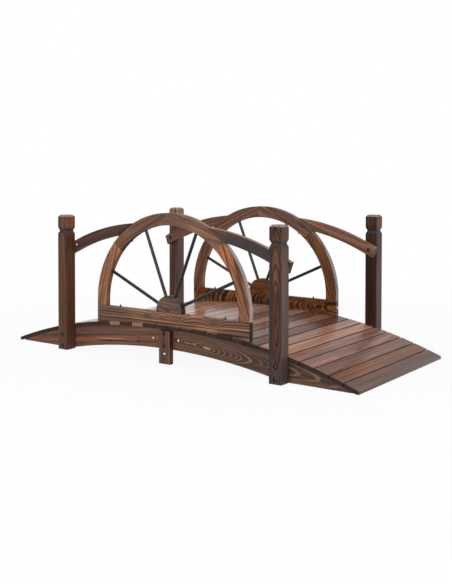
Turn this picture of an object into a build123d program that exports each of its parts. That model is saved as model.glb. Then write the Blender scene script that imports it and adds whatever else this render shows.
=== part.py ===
from build123d import *
import math
import os

# A small arched garden bridge of stained softwood, with half a wagon wheel in each railing.
# X runs along the walkway, Y across it and Z up. The origin is on the ground, under the middle.
# All sizes are in millimetres.

# Deck
deck_length = 1520.0
deck_width = 680.0
crown_height = 137.0
crown_radius = 3690.0
crown_half_length = 186.0
toe_height = 10.5
boards_each_half = 14
board_thickness = 14.0
board_gap = 4.0
board_edge_round = 1.5
board_overhang = 6.0

# Stringers under the deck, each in two halves
stringer_thickness = 22.0
underside_height = 51.0
underside_half_span = 478.0
stringer_tip_height = 3.5
joint_gap = 0.3

# Legs and plates at the middle joint
leg_width = 50.0
leg_thickness = 20.0
leg_height = 121.0
plate_length = 190.0
plate_height = 50.0
plate_thickness = 18.0
plate_middle_height = 86.0

# Posts
post_size = 48.5
post_height = 525.0
post_middle_x = 480.0
post_edge_bevel = 2.0
cap_chamfer_height = 7.0
cap_chamfer_inset = 6.0
neck_depth = 5.2
neck_middle_below_top = 61.0
neck_half_height = 12.5

# Wheels: rim, base board, hub and spokes
rim_outer_radius = 346.0
rim_width = 45.0
rim_thickness = 22.0
rim_joint_angles = (47.0, 93.0, 139.0)
wheel_inset = 7.0
wheel_middle_height = 200.0
base_top_height = 182.0
hub_radius = 59.0
hub_middle_above_base = 4.0
spokes_a_wheel = 4
spoke_diameter = 12.0
spoke_depth_in_rim = 14.0
spoke_start_radius = 30.0

# Rails between a wheel and its posts
rail_thickness = 22.0
rail_depth = 40.5
rail_crown_x = 93.0
rail_crown_below_wheel_top = 40.0
rail_top_below_post_top = 100.0
rail_past_post = 6.0
rail_end_lean = 19.0

# Recesses for the bolt heads in the posts, the legs and the rails
recess_diameter = 14.0
recess_depth = 7.0
post_bolt_heights = (16.5, 58.5)
leg_bolts_below_top = (10.0, 53.0)

# Clearances
seat_gap = 0.3
post_notch_gap = 1.0
spoke_gap = 0.2

# Worked out from the sizes above
side_face = deck_width / 2 - board_overhang
wheel_face = side_face - wheel_inset
rim_inner_radius = rim_outer_radius - rim_width
hub_middle_height = base_top_height + hub_middle_above_base
half_length = deck_length / 2
spoke_radius = spoke_diameter / 2
crown_angle = math.asin(crown_half_length / crown_radius)
crown_arc = crown_radius * crown_angle
crown_middle = (0.0, crown_height - crown_radius)


def haunch_circle():
    """Centre and radius of the arc that carries the crown's arc on, smoothly, to the toe."""
    start_x = crown_half_length
    start_z = crown_middle[1] + crown_radius * math.cos(crown_angle)
    run = half_length - start_x
    fall = toe_height - start_z
    inward_x = -math.sin(crown_angle)
    inward_z = -math.cos(crown_angle)
    radius = (run**2 + fall**2) / (2 * (run * inward_x + fall * inward_z))
    return (start_x + radius * inward_x, start_z + radius * inward_z), radius


haunch_middle, haunch_radius = haunch_circle()
toe_angle = math.asin((half_length - haunch_middle[0]) / haunch_radius)
half_arc = crown_arc + haunch_radius * (toe_angle - crown_angle)
board_pitch = half_arc / boards_each_half


def on_walkway(distance, depth=0.0):
    """The point at a distance along the walkway from its crown, at a depth below it, and its slope."""
    if distance <= crown_arc:
        angle = distance / crown_radius
        middle, radius = crown_middle, crown_radius
    else:
        angle = crown_angle + (distance - crown_arc) / haunch_radius
        middle, radius = haunch_middle, haunch_radius
    x = middle[0] + (radius - depth) * math.sin(angle)
    z = middle[1] + (radius - depth) * math.cos(angle)
    return x, z, math.degrees(angle)


def haunch_point(x, depth=0.0):
    """The point at x on the haunch, at a depth below the walkway."""
    radius = haunch_radius - depth
    return x, haunch_middle[1] + math.sqrt(radius**2 - (x - haunch_middle[0])**2)


def walkway_edges(end_x, depth=0.0):
    """Two arcs at a depth below the walkway, from the crown to end_x."""
    crown = (0.0, crown_height - depth)
    quarter = on_walkway(crown_arc / 2, depth)
    knee = on_walkway(crown_arc, depth)
    middle = haunch_point((knee[0] + end_x) / 2, depth)
    end = haunch_point(end_x, depth)
    return [arc(crown, quarter, knee), arc(knee, middle, end)]


def line(start, end):
    """A straight edge between two points given as X and Z."""
    return Line((start[0], 0, start[1]), (end[0], 0, end[1]))


def arc(start, middle, end):
    """A round edge through three points given as X and Z."""
    return ThreePointArc((start[0], 0, start[1]), (middle[0], 0, middle[1]), (end[0], 0, end[1]))


def polar(middle_z, radius, degrees, middle_x=0.0):
    """A point on a circle in the X and Z plane."""
    turn = math.radians(degrees)
    return middle_x + radius * math.cos(turn), middle_z + radius * math.sin(turn)


def sawn(edges, thickness, outer_face=side_face):
    """A piece sawn from a board on the front side: its closed outline, and its outer face at -Y."""
    face = make_face(edges)
    return Pos(0, -outer_face, 0) * extrude(face, thickness, dir=(0, 1, 0))


def slab(x_range, y_range, z_range):
    """A square block between limits."""
    size = [limits[1] - limits[0] for limits in (x_range, y_range, z_range)]
    low = Pos(x_range[0], y_range[0], z_range[0])
    return low * Box(*size, align=(Align.MIN, Align.MIN, Align.MIN))


def bolt_recess(x, z, face_distance):
    """A round block that sinks a bolt head's recess into a face across Y, at a distance towards -Y."""
    block = Cylinder(recess_diameter / 2, 2 * recess_depth)
    return Pos(x, -face_distance, z) * Rot(90, 0, 0) * block


def stringer_right():
    """Half a stringer: flat on the ground at the ramp, with an arch cut out below the middle."""
    top_depth = board_thickness + seat_gap
    low_radius = (underside_half_span**2 + underside_height**2) / (2 * underside_height)
    mid_x = underside_half_span / 2
    mid_z = underside_height - low_radius + math.sqrt(low_radius**2 - mid_x**2)
    radius = haunch_radius - top_depth
    tip_x = haunch_middle[0] + math.sqrt(radius**2 - (stringer_tip_height - haunch_middle[1])**2)
    crown = (0.0, crown_height - top_depth)
    edges = walkway_edges(tip_x, top_depth) + [
        line((tip_x, stringer_tip_height), (tip_x, 0.0)),
        line((tip_x, 0.0), (underside_half_span, 0.0)),
        arc((underside_half_span, 0.0), (mid_x, mid_z), (0.0, underside_height)),
        line((0.0, underside_height), crown),
    ]
    half = sawn(edges, stringer_thickness)
    joint = slab((-1, joint_gap / 2), (-deck_width, 0), (0, crown_height))
    return half - joint


def leg():
    """The leg over the joint between two stringer halves, with its two bolt recesses."""
    back = -side_face
    board = slab((-leg_width / 2, leg_width / 2), (back - leg_thickness, back), (0, leg_height))
    for below_top in leg_bolts_below_top:
        board = board - bolt_recess(0, leg_height - below_top, side_face + leg_thickness)
    return board


def plate():
    """The plate that joins two stringer halves on their inner side."""
    outer = -side_face + stringer_thickness
    low = plate_middle_height - plate_height / 2
    return slab((-plate_length / 2, plate_length / 2), (outer, outer + plate_thickness),
                (low, low + plate_height))


def post_section(height, inset=0.0):
    """The post's section at a height, drawn in by an inset all round."""
    size = post_size - 2 * inset
    square = Rectangle(size, size)
    return Pos(0, 0, height) * chamfer(square.vertices(), post_edge_bevel)


def post():
    """A square post with a groove round its neck, a bevelled top and two bolt recesses at -Y."""
    neck = post_height - neck_middle_below_top
    shoulder = neck - neck_half_height
    cap_low = neck + neck_half_height
    cap_high = post_height - cap_chamfer_height
    shaft = extrude(post_section(0), shoulder)
    lower = loft([post_section(shoulder), post_section(neck, neck_depth)], ruled=True)
    upper = loft([post_section(neck, neck_depth), post_section(cap_low)], ruled=True)
    cap = extrude(post_section(cap_low), cap_high - cap_low)
    bevel = loft([post_section(cap_high), post_section(post_height, cap_chamfer_inset)], ruled=True)
    turned = shaft + lower + upper + cap + bevel
    for height in post_bolt_heights:
        turned = turned - bolt_recess(0, height, post_size / 2)
    return turned


def placed_post():
    """The front post on the right, standing against the stringer."""
    return Pos(post_middle_x, -side_face - post_size / 2, 0) * post()


def post_notches():
    """Blocks a little larger than the posts, to notch the deck boards round them."""
    half = post_size / 2 + post_notch_gap
    inner = side_face - post_notch_gap
    blocks = []
    for x in (-post_middle_x, post_middle_x):
        blocks.append(slab((x - half, x + half), (inner, deck_width), (0, crown_height)))
        blocks.append(slab((x - half, x + half), (-deck_width, -inner), (0, crown_height)))
    return blocks


def deck_board(number, notches):
    """One deck board of the right half, counted from the crown to the toe."""
    near = number * board_pitch + board_gap / 2
    is_toe = number == boards_each_half - 1
    far = (number + 1) * board_pitch - board_gap / 2
    if is_toe:
        far = (number + 1) * board_pitch + board_thickness
    x, z, slope = on_walkway((near + (number + 1) * board_pitch - board_gap / 2) / 2,
                             board_thickness / 2)
    flat = Box(far - near, deck_width, board_thickness)
    flat = fillet(flat.edges().filter_by(Axis.Y).sort_by(Axis.Z)[-2:], board_edge_round)
    shift = (far - (number + 1) * board_pitch + board_gap / 2) / 2
    board = Pos(x, 0, z) * Rot(0, slope, 0) * Pos(shift, 0, 0) * flat
    if is_toe:
        board = board & slab((0, half_length), (-deck_width, deck_width), (0, crown_height))
    for block in notches:
        board = board - block
    return board


def wheel_base():
    """The board under a wheel: straight on top, and curved below to sit on the deck."""
    lift = -seat_gap
    left_to_right = walkway_edges(rim_outer_radius, lift)
    low_end = haunch_point(rim_outer_radius, lift)
    corner = (rim_outer_radius, base_top_height)
    half = left_to_right + [
        line(low_end, corner),
        line(corner, (0.0, base_top_height)),
        line((0.0, base_top_height), (0.0, crown_height - lift)),
    ]
    right = sawn(half, rim_thickness, wheel_face)
    return right + mirror(right, about=Plane.YZ)


def spoke_line(number):
    """The slope of a spoke, and its way from the hub's middle to the rim's inner face."""
    degrees = 180.0 / spokes_a_wheel * (number + 0.5)
    x, z = polar(wheel_middle_height, rim_inner_radius, degrees)
    rise = z - hub_middle_height
    return math.degrees(math.atan2(rise, x)), math.hypot(x, rise)


def rod(radius, start, end, degrees):
    """A round rod in the middle of the rim's thickness, out from the hub's middle."""
    y = -wheel_face + rim_thickness / 2
    lying = Rot(0, 90 - degrees, 0) * Pos(0, 0, start)
    upright = Cylinder(radius, end - start, align=(Align.CENTER, Align.CENTER, Align.MIN))
    return Pos(0, y, hub_middle_height) * lying * upright


def rim_cuts():
    """The angles at which the rim is cut, each on its outer and its inner face, from the right."""
    below = base_top_height + seat_gap - wheel_middle_height
    foot = [math.degrees(math.asin(below / radius)) for radius in (rim_outer_radius, rim_inner_radius)]
    joints = [(degrees, degrees) for degrees in rim_joint_angles]
    return [(foot[0], foot[1])] + joints + [(180 - foot[0], 180 - foot[1])]


def felloe(starts, ends):
    """One curved piece of the rim between two cuts, with the socket of the spoke that it holds."""
    z = wheel_middle_height
    middle = (starts[0] + ends[0]) / 2
    corners = [
        polar(z, rim_outer_radius, starts[0]), polar(z, rim_outer_radius, ends[0]),
        polar(z, rim_inner_radius, ends[1]), polar(z, rim_inner_radius, starts[1]),
    ]
    edges = [
        arc(corners[0], polar(z, rim_outer_radius, middle), corners[1]),
        line(corners[1], corners[2]),
        arc(corners[2], polar(z, rim_inner_radius, middle), corners[3]),
        line(corners[3], corners[0]),
    ]
    piece = sawn(edges, rim_thickness, wheel_face)
    for number in range(spokes_a_wheel):
        degrees, reach = spoke_line(number)
        piece = piece - rod(spoke_radius + spoke_gap, reach - rim_width, reach + spoke_depth_in_rim, degrees)
    return piece


def hub():
    """The half-round block in the middle of a wheel, with a socket for each spoke."""
    low = base_top_height + seat_gap
    left, right = (-hub_radius, low), (hub_radius, low)
    left_up, right_up = (-hub_radius, hub_middle_height), (hub_radius, hub_middle_height)
    edges = [
        line(left, right),
        line(right, right_up),
        arc(right_up, (0.0, hub_middle_height + hub_radius), left_up),
        line(left_up, left),
    ]
    block = sawn(edges, rim_thickness, wheel_face)
    for number in range(spokes_a_wheel):
        degrees, reach = spoke_line(number)
        block = block - rod(spoke_radius + spoke_gap, spoke_start_radius - seat_gap, reach, degrees)
    return block


def spokes():
    """The round metal spokes of one wheel, from the hub's sockets to the rim's."""
    rods = []
    for number in range(spokes_a_wheel):
        degrees, reach = spoke_line(number)
        end = reach + spoke_depth_in_rim - seat_gap
        rods.append(rod(spoke_radius, spoke_start_radius, end, degrees))
    return rods


def rail_right():
    """A rail: an arc hollowed to meet the rim, then a straight tail bolted inside its post."""
    crown = wheel_middle_height + rim_outer_radius - rail_crown_below_wheel_top
    tail_x = post_middle_x - post_size / 2
    run = tail_x - rail_crown_x
    fall = crown - (post_height - rail_top_below_post_top)
    outer = (run**2 + fall**2) / (2 * fall)
    inner = outer - rail_depth
    middle_z = crown - outer
    slope = math.degrees(math.asin(run / outer))

    def at(radius, lean):
        return polar(middle_z, radius, 90 - lean, rail_crown_x)

    def along(start, distance):
        turn = math.radians(slope)
        return start[0] + distance * math.cos(turn), start[1] - distance * math.sin(turn)

    tail = (post_middle_x + post_size / 2 + rail_past_post - tail_x) / math.cos(math.radians(slope))
    cut_back = rail_depth * math.tan(math.radians(slope - rail_end_lean))
    edges = [
        line(along(at(outer, slope), tail), at(outer, slope)),
        arc(at(outer, slope), at(outer, slope / 2), at(outer, 0)),
        line(at(outer, 0), (0.0, crown)),
        line((0.0, crown), (0.0, crown - rail_depth)),
        line((0.0, crown - rail_depth), at(inner, 0)),
        arc(at(inner, 0), at(inner, slope / 2), at(inner, slope)),
        line(at(inner, slope), along(at(inner, slope), tail + cut_back)),
        line(along(at(inner, slope), tail + cut_back), along(at(outer, slope), tail)),
    ]
    blank = sawn(edges, rail_thickness)
    y = -side_face + rail_thickness / 2
    wheel = Pos(0, y, wheel_middle_height) * Rot(90, 0, 0) * Cylinder(
        rim_outer_radius + seat_gap, 2 * rail_thickness)
    tail_middle = at(outer - rail_depth / 2, slope)
    to_post = (post_middle_x - tail_middle[0]) / math.cos(math.radians(slope))
    bolt = along(tail_middle, to_post)
    return blank - wheel - bolt_recess(bolt[0], bolt[1], side_face - rail_thickness)


def to_back(shape):
    """The same piece on the back side."""
    return mirror(shape, about=Plane.XZ)


def to_left(shape):
    """The same piece on the left."""
    return mirror(shape, about=Plane.YZ)


def build():
    """Every piece of the bridge, by the name of its node."""
    nodes = {}
    both_ends = {"post": placed_post(), "stringer": stringer_right(), "rail": rail_right()}
    for name, right in both_ends.items():
        nodes[f"{name}_front_right"] = right
        nodes[f"{name}_front_left"] = to_left(right)
        nodes[f"{name}_back_right"] = to_back(right)
        nodes[f"{name}_back_left"] = to_back(to_left(right))
    one_a_side = {"middle_leg": leg(), "joint_plate": plate(), "wheel_base": wheel_base(),
                  "hub": hub()}
    cuts = rim_cuts()
    for number in range(1, len(cuts)):
        one_a_side[f"rim_felloe_{number}"] = felloe(cuts[number - 1], cuts[number])
    for name, front in one_a_side.items():
        nodes[f"{name}_front"] = front
        nodes[f"{name}_back"] = to_back(front)
    rods = spokes()
    nodes["spokes_front"] = Compound(children=rods)
    nodes["spokes_back"] = Compound(children=[to_back(one) for one in rods])
    notches = post_notches()
    for number in range(boards_each_half):
        board = deck_board(number, notches)
        nodes[f"deck_board_right_{number + 1:02d}"] = board
        nodes[f"deck_board_left_{number + 1:02d}"] = to_left(board)
    return nodes


def main():
    os.makedirs("parts", exist_ok=True)
    for name, shape in build().items():
        export_step(shape, f"parts/{name}.step")


main()
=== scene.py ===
# %% [markdown]
# A small arched garden bridge, dressed in stained softwood.
#
# The construction is already done: boards, posts, wheels and rails arrive as solid
# meshes at their real size. What is left is what a viewer sees first: growth rings,
# stain, worn edges, black bolts, bright screws, and soft light. Every finish here is
# worked out from formulas, so nothing depends on a picture file.

import math

import bpy
import numpy as np
from mathutils import Matrix, Vector


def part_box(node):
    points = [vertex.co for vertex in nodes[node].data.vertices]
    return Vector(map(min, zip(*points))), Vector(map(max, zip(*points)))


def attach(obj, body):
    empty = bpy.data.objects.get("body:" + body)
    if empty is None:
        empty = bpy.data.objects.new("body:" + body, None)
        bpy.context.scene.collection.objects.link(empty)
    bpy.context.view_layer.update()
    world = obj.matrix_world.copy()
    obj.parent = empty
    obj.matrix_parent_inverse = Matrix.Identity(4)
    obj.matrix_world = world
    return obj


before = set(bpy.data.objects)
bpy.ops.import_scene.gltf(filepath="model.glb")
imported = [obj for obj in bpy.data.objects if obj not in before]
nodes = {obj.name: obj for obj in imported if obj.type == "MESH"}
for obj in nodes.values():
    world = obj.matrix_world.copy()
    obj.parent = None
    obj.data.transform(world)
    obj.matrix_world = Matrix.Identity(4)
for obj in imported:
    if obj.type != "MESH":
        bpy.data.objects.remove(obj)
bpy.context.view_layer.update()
X, Y, Z = Vector((1, 0, 0)), Vector((0, 1, 0)), Vector((0, 0, 1))

# %% [markdown]
# The camera stands off the near right-hand corner, at table height, and looks almost
# level. The bridge lies lower than that, so the lens is shifted down rather than tilted:
# a tilted camera would make the posts lean. The shift sideways gives the two ends their
# sizes. It is small, because other views keep it and could lose an end of the bridge.

# %% Camera
FRAME_WIDTH, FRAME_HEIGHT = 452, 584
SENSOR = 36.0
FOCAL_PIXELS = 937.53
VIEW_CENTRE = (165.0, 190.76)
CAMERA_PLACE = (2.06196, -3.02074, 0.73189)
CAMERA_YAW, CAMERA_PITCH, CAMERA_ROLL = 0.65738, 0.03097, -0.00084


def new_object(name, data):
    """An object with this data, linked to the scene."""
    made = bpy.data.objects.new(name, data)
    bpy.context.scene.collection.objects.link(made)
    return made


lens = bpy.data.cameras.new("view")
lens.sensor_width = SENSOR
lens.lens = FOCAL_PIXELS * SENSOR / FRAME_HEIGHT
lens.shift_x = (FRAME_WIDTH / 2 - VIEW_CENTRE[0]) / FRAME_HEIGHT
lens.shift_y = (VIEW_CENTRE[1] - FRAME_HEIGHT / 2) / FRAME_HEIGHT
camera = new_object("view", lens)
turn = (
    Matrix.Rotation(CAMERA_YAW, 4, "Z")
    @ Matrix.Rotation(math.pi / 2 - CAMERA_PITCH, 4, "X")
    @ Matrix.Rotation(CAMERA_ROLL, 4, "Z")
)
camera.matrix_world = Matrix.Translation(CAMERA_PLACE) @ turn
bpy.context.scene.camera = camera
bpy.context.scene.view_settings.view_transform = "Standard"
print("lens", round(lens.lens, 2), "mm, shift", round(lens.shift_x, 3), round(lens.shift_y, 3))

# %% [markdown]
# Shader maths reads best as ordinary arithmetic. The class below wraps an output socket
# of a material. Adding or multiplying two of them puts a Math node in the tree and gives
# back its output, so a formula can be written on one line. Everything else comes from
# one method, node, which takes the settings first and then the sockets' values or links.

# %% Shader expressions
class Wire:
    """An output socket of a node tree, with arithmetic that adds Math nodes."""

    def __init__(self, tree, socket=None):
        self.tree = tree
        self.socket = socket

    def node(self, kind, settings=None, inputs=None, output=0):
        """Adds a node: its settings, then each socket's value or link. Returns the chosen output."""
        made = self.tree.nodes.new(kind)
        for name, value in (settings or {}).items():
            setattr(made, name, value)
        for name, value in (inputs or {}).items():
            if isinstance(value, Wire):
                self.tree.links.new(value.socket, made.inputs[name])
            else:
                made.inputs[name].default_value = value
        return Wire(self.tree, made.outputs[output])

    def maths(self, operation, *values):
        return self.node("ShaderNodeMath", {"operation": operation}, dict(enumerate(values)))

    def __add__(self, other):
        return self.maths("ADD", self, other)

    def __radd__(self, other):
        return self.maths("ADD", other, self)

    def __sub__(self, other):
        return self.maths("SUBTRACT", self, other)

    def __rsub__(self, other):
        return self.maths("SUBTRACT", other, self)

    def __mul__(self, other):
        return self.maths("MULTIPLY", self, other)

    def __rmul__(self, other):
        return self.maths("MULTIPLY", other, self)

    def __truediv__(self, other):
        return self.maths("DIVIDE", self, other)

    def __rtruediv__(self, other):
        return self.maths("DIVIDE", other, self)

    def vector(self, operation, *values, output="Vector"):
        return self.node("ShaderNodeVectorMath", {"operation": operation}, dict(enumerate(values)), output)

    def part(self, direction):
        """A vector's share along a direction."""
        return self.vector("DOT_PRODUCT", self, tuple(direction), output="Value")

    def step(self, low, high, to_low=0.0, to_high=1.0):
        """Eases from to_low to to_high as this value goes from low to high."""
        return self.node(
            "ShaderNodeMapRange",
            {"interpolation_type": "SMOOTHSTEP"},
            {0: self, 1: low, 2: high, 3: to_low, 4: to_high},
        )

    def mix(self, first, second):
        """The first colour where this value is 0 and the second where it is 1."""
        return self.node("ShaderNodeMix", {"data_type": "RGBA"}, {0: self, 6: first, 7: second}, 2)

    def noise(self, waves, detail, roughness=0.5, output=0):
        """Noise at this place, with so many waves a metre along each of the three axes."""
        stretched = self.vector("MULTIPLY", self, waves)
        return self.node(
            "ShaderNodeTexNoise",
            None,
            {"Vector": stretched, "Scale": 1.0, "Detail": detail, "Roughness": roughness},
            output,
        )


print("besides arithmetic, a wire has", [name for name in vars(Wire) if not name.startswith("_")])

# %% [markdown]
# Colours are written as a painter reads them from a chart, 0 to 255, and turned into the
# linear amounts that light works with. A material starts empty: what varies over a
# surface is linked to its shader, and what is the same all over is set there.

# %% Paint and materials
def paint(red, green, blue):
    """The linear colour of a red, green and blue from 0 to 255."""
    share = np.array([red, green, blue]) / 255.0
    linear = np.where(share <= 0.04045, share / 12.92, ((share + 0.055) / 1.055) ** 2.4)
    return (*(float(c) for c in linear), 1.0)


def new_material(name):
    """An empty material, its shader and its first wire."""
    material = bpy.data.materials.new(name)
    material.use_nodes = True
    tree = material.node_tree
    return material, tree.nodes["Principled BSDF"], Wire(tree)


def feed(shader, **values):
    """Links wires to the shader's sockets, and sets plain values there."""
    for name, value in values.items():
        socket = shader.inputs[name.replace("_", " ")]
        if isinstance(value, Wire):
            value.tree.links.new(value.socket, socket)
        else:
            socket.default_value = value


print("amber stain in light units:", [round(c, 3) for c in paint(128, 86, 62)])

# %% [markdown]
# A white sweep stands behind the bridge, brightest near the floor, and the room is dim in
# front, behind the camera. That gives dark stained wood its depth: a face that mirrors
# the foot of the sweep takes a pale sheen, and one that mirrors the dim front keeps its
# full colour. The camera sees plain white everywhere. Near the bridge a share of the
# floor is lit paint and holds a faint shadow, and that share fades further out, so no
# line shows where the floor ends.

# %% Studio
FLOOR_HALF = 9.0
FLOOR_SEEN_WHITE = 0.93
SHADOW_ENDS = (1.0, 2.4)
FLOOR_PAINT, FLOOR_ROUGHNESS = (222, 222, 222), 0.9
ROOM_LIGHT = 0.50
FRONT_SHARE = 0.30
SWEEP_EDGE = (-0.45, 0.25)
FLOOR_SWEEP_EDGE = (-1.1, 0.3)
SWEEP_FADES, HIGH_SHARE = (0.15, 0.34), 0.34
LAMPS_AIM = (0.0, 0.0, 0.15)
LAMPS = (
    # name, place, size in metres, power in watts
    ("window_front", (0.2, -4.4, 1.9), 2.4, 120.0),
    ("window_right", (4.2, -0.8, 1.4), 2.2, 80.0),
    ("window_left", (-4.2, 1.0, 1.6), 2.2, 45.0),
    ("ceiling", (0.2, 0.4, 3.4), 3.0, 36.0),
)


def ray_kinds(wire):
    """1 or 0 for a ray from the camera or through glass, and the same for a mirrored ray."""
    kinds = ("Is Camera Ray", "Is Glossy Ray", "Is Transmission Ray")
    camera, mirror, glass = (wire.node("ShaderNodeLightPath", output=kind) for kind in kinds)
    return camera.maths("MAXIMUM", camera, glass), mirror


def towards_sweep(place, edge):
    """1 behind the bridge and FRONT_SHARE in front of it, for a direction or a place."""
    return place.part(Y).step(*edge, FRONT_SHARE, 1.0)


def white_room():
    """Camera and glass rays see 1, mirrored rays see the sweep, and surfaces get the room's light."""
    world = bpy.data.worlds.new("white_room")
    world.use_nodes = True
    wire = Wire(world.node_tree)
    background = world.node_tree.nodes["Background"]
    background.inputs["Color"].default_value = (1.0, 1.0, 1.0, 1.0)
    seen, mirrored = ray_kinds(wire)
    direction = wire.node("ShaderNodeTexCoord", output="Generated")
    sweep = towards_sweep(direction, SWEEP_EDGE)
    glow = mirrored * direction.part(Z).step(*SWEEP_FADES, 1.0, HIGH_SHARE)
    light = sweep * (glow + (1.0 - mirrored) * ROOM_LIGHT)
    strength = seen + (1.0 - seen) * light
    world.node_tree.links.new(strength.socket, background.inputs["Strength"])
    bpy.context.scene.world = world


def pale_floor():
    """A plain white floor to the eye and to mirrors, with a share of lit paint for the shadow."""
    corners = FLOOR_HALF * np.array([(-1, -1, 0), (1, -1, 0), (1, 1, 0), (-1, 1, 0)], float)
    mesh = bpy.data.meshes.new("floor")
    mesh.from_pydata(corners.tolist(), [], [(0, 1, 2, 3)])
    floor = new_object("floor", mesh)
    material, shader, wire = new_material("pale_floor")
    place = wire.node("ShaderNodeTexCoord", output="Object")
    feed(shader, Base_Color=paint(*FLOOR_PAINT), Roughness=FLOOR_ROUGHNESS)
    seen, mirrored = ray_kinds(wire)
    sweep = towards_sweep(place, FLOOR_SWEEP_EDGE)
    strength = seen + (1.0 - seen) * sweep
    white = wire.node("ShaderNodeEmission", None, {"Color": (1, 1, 1, 1), "Strength": strength})
    far = place.vector("LENGTH", place, output="Value").step(*SHADOW_ENDS)
    share = seen * (FLOOR_SEEN_WHITE + (1.0 - FLOOR_SEEN_WHITE) * far) + (1.0 - seen) * mirrored
    lit = Wire(material.node_tree, shader.outputs[0])
    mixed = wire.node("ShaderNodeMixShader", None, {0: share, 1: lit, 2: white})
    material.node_tree.links.new(
        mixed.socket, material.node_tree.nodes["Material Output"].inputs["Surface"])
    mesh.materials.append(material)


def soft_lamp(name, place, size, power):
    """A square window of light, turned towards the bridge."""
    data = bpy.data.lights.new(name, "AREA")
    data.shape, data.size, data.energy = "SQUARE", size, power
    lamp = new_object(name, data)
    aim = Vector(LAMPS_AIM) - Vector(place)
    lamp.location = place
    lamp.rotation_euler = aim.to_track_quat("-Z", "Y").to_euler()


white_room()
pale_floor()
for lamp_facts in LAMPS:
    soft_lamp(*lamp_facts)
print("lamps:", [facts[0] for facts in LAMPS])

# %% [markdown]
# Wood is a solid, not a skin. A trunk is a stack of thin cones round its pith, one a
# year: pale wood grown in spring, then a dark hard line grown in late summer. A board is
# cut out of that. So each board here has its own pith line, and the distance from it
# gives the rings. Where the saw ran nearly along a ring, the face shows pointed arches;
# where it crossed the rings, straight lines; and on the ends, arcs. All of that comes
# from the one formula, on every face, with no seam at the corners.
#
# Real rings are uneven, so the distance is pushed about by noise: a slow push that makes
# the arches wander, and a fine one that makes the lines tremble. Two things need more
# than noise. At a knot the lines dive side by side in a sharp V, and the knot swallows
# them. And where a trunk bulges, the saw cuts the bulge's rings into ovals, one in
# another, with chevrons running out from them: an eye.

# %% Growth rings
SLOW_WANDER, SLOW_WAVES = 0.010, (2.6, 11.0, 11.0)
FINE_TREMBLE, FINE_WAVES = 0.0016, (14.0, 120.0, 120.0)
UNEVEN_YEARS, YEARS_WAVE = 1.6, 0.3
SEED_SHIFT = (1.7, 0.9, 2.3)
KNOT_DEPTH = 0.014
COMMON_RING = 0.0085
LINE_BEGINS, LINE_FULL, LINE_ENDS = 0.56, 0.86, 0.955


def grain_frame(middle, along, outward, side, depth, swing, lean):
    """Where the pith line is: beside and behind a board's middle, turned by two angles in degrees.

    The frame's x runs along the grain and its z out of the board's face. side moves the
    pith across the face and depth moves it behind the face, in metres. lean tips it
    towards the face, which makes arches, and swing turns it in the face's own plane,
    which makes the lines run out at the board's edges.
    """
    x = Vector(along).normalized()
    z = (Vector(outward) - x * x.dot(Vector(outward))).normalized()
    turned = Matrix((x, z.cross(x), z)).transposed()
    turned = turned @ Matrix.Rotation(math.radians(swing), 3, "Z")
    turned = turned @ Matrix.Rotation(math.radians(lean), 3, "Y")
    pith = Vector(middle) + z.cross(x) * side - z * depth
    return pith, turned.to_euler(), side


def growth_rings(wire, pith_frame, ring_width, seed, knots, eyes, line_begins):
    """The figure of one board, by name: its places, the summer line and a value per ring.

    distance = how far the point is from the pith line, after noise has moved the point;
    years = distance / ring_width, made uneven by noise.
    A knot (along, across, reach, pull) adds pull / (1 + |along| / reach)^2 to the height
    across the board, in metres, above the knot's own level and not below it. So the lines
    above dive side by side in a sharp V, and the knot swallows them.
    An eye (along, across, length, width, spread) adds q / (1 + q / spread) years, where
    q = sqrt(1 + (along / length)^2 + (across / width)^2) - 1.
    """
    place = wire.node("ShaderNodeTexCoord", output="Object")
    pith, euler, side = pith_frame
    local = wire.node(
        "ShaderNodeMapping",
        {"vector_type": "TEXTURE"},
        {"Vector": place, "Location": pith, "Rotation": euler},
    )
    shifted = local.vector("ADD", local, tuple(seed * shift for shift in SEED_SHIFT))
    slow = shifted.noise(SLOW_WAVES, 2.0, 0.45, output=1)
    fine = shifted.noise(FINE_WAVES, 1.0)
    bent = local.vector("MULTIPLY_ADD", slow, (0.0, SLOW_WANDER, SLOW_WANDER), local)
    along, across, out = local.part(X), bent.part(Y) + side, bent.part(Z)
    dived = across
    for knot_along, knot_across, reach, pull in knots:
        gap = 1.0 + along.maths("ABSOLUTE", along - knot_along) / reach
        above = (across - knot_across).step(0.0, KNOT_DEPTH)
        dived = dived + above * pull / (gap * gap)
    offset = dived - side
    square = offset * offset + out * out
    years = square.maths("SQRT", square) / ring_width
    for eye_along, eye_across, length, width, spread in eyes:
        run, rise = (along - eye_along) / length, (across - eye_across) / width
        oval = 1.0 + run * run + rise * rise
        rings = oval.maths("SQRT", oval) - 1.0
        years = years + rings / (1.0 + rings / spread)
    years = years + (FINE_TREMBLE / ring_width) * fine
    uneven = wire.node(
        "ShaderNodeTexNoise", {"noise_dimensions": "1D"},
        {"W": years * YEARS_WAVE + seed, "Scale": 1.0, "Detail": 1.0})
    years = years + UNEVEN_YEARS * uneven
    part = years.maths("FRACT", years)
    line = part.step(line_begins, LINE_FULL) * part.step(LINE_ENDS, 1.0, 1.0, 0.0)
    per_ring = wire.node(
        "ShaderNodeTexWhiteNoise", {"noise_dimensions": "1D"}, {"W": years.maths("FLOOR", years) + seed})
    return {"place": place, "noise": shifted, "along": along, "across": across, "line": line,
            "per_ring": per_ring}


low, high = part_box("post_front_left")
print("common rings put", round((high.x - low.x) / COMMON_RING), "lines on a post cut square to them")

# %% [markdown]
# The stain. This wood was scorched and brushed, then stained, so the summer lines are
# nearly black, and the spring wood took an uneven brown that goes grey where soot was
# left in it. Pores took the most stain, and the ridges between them the least.

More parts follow.
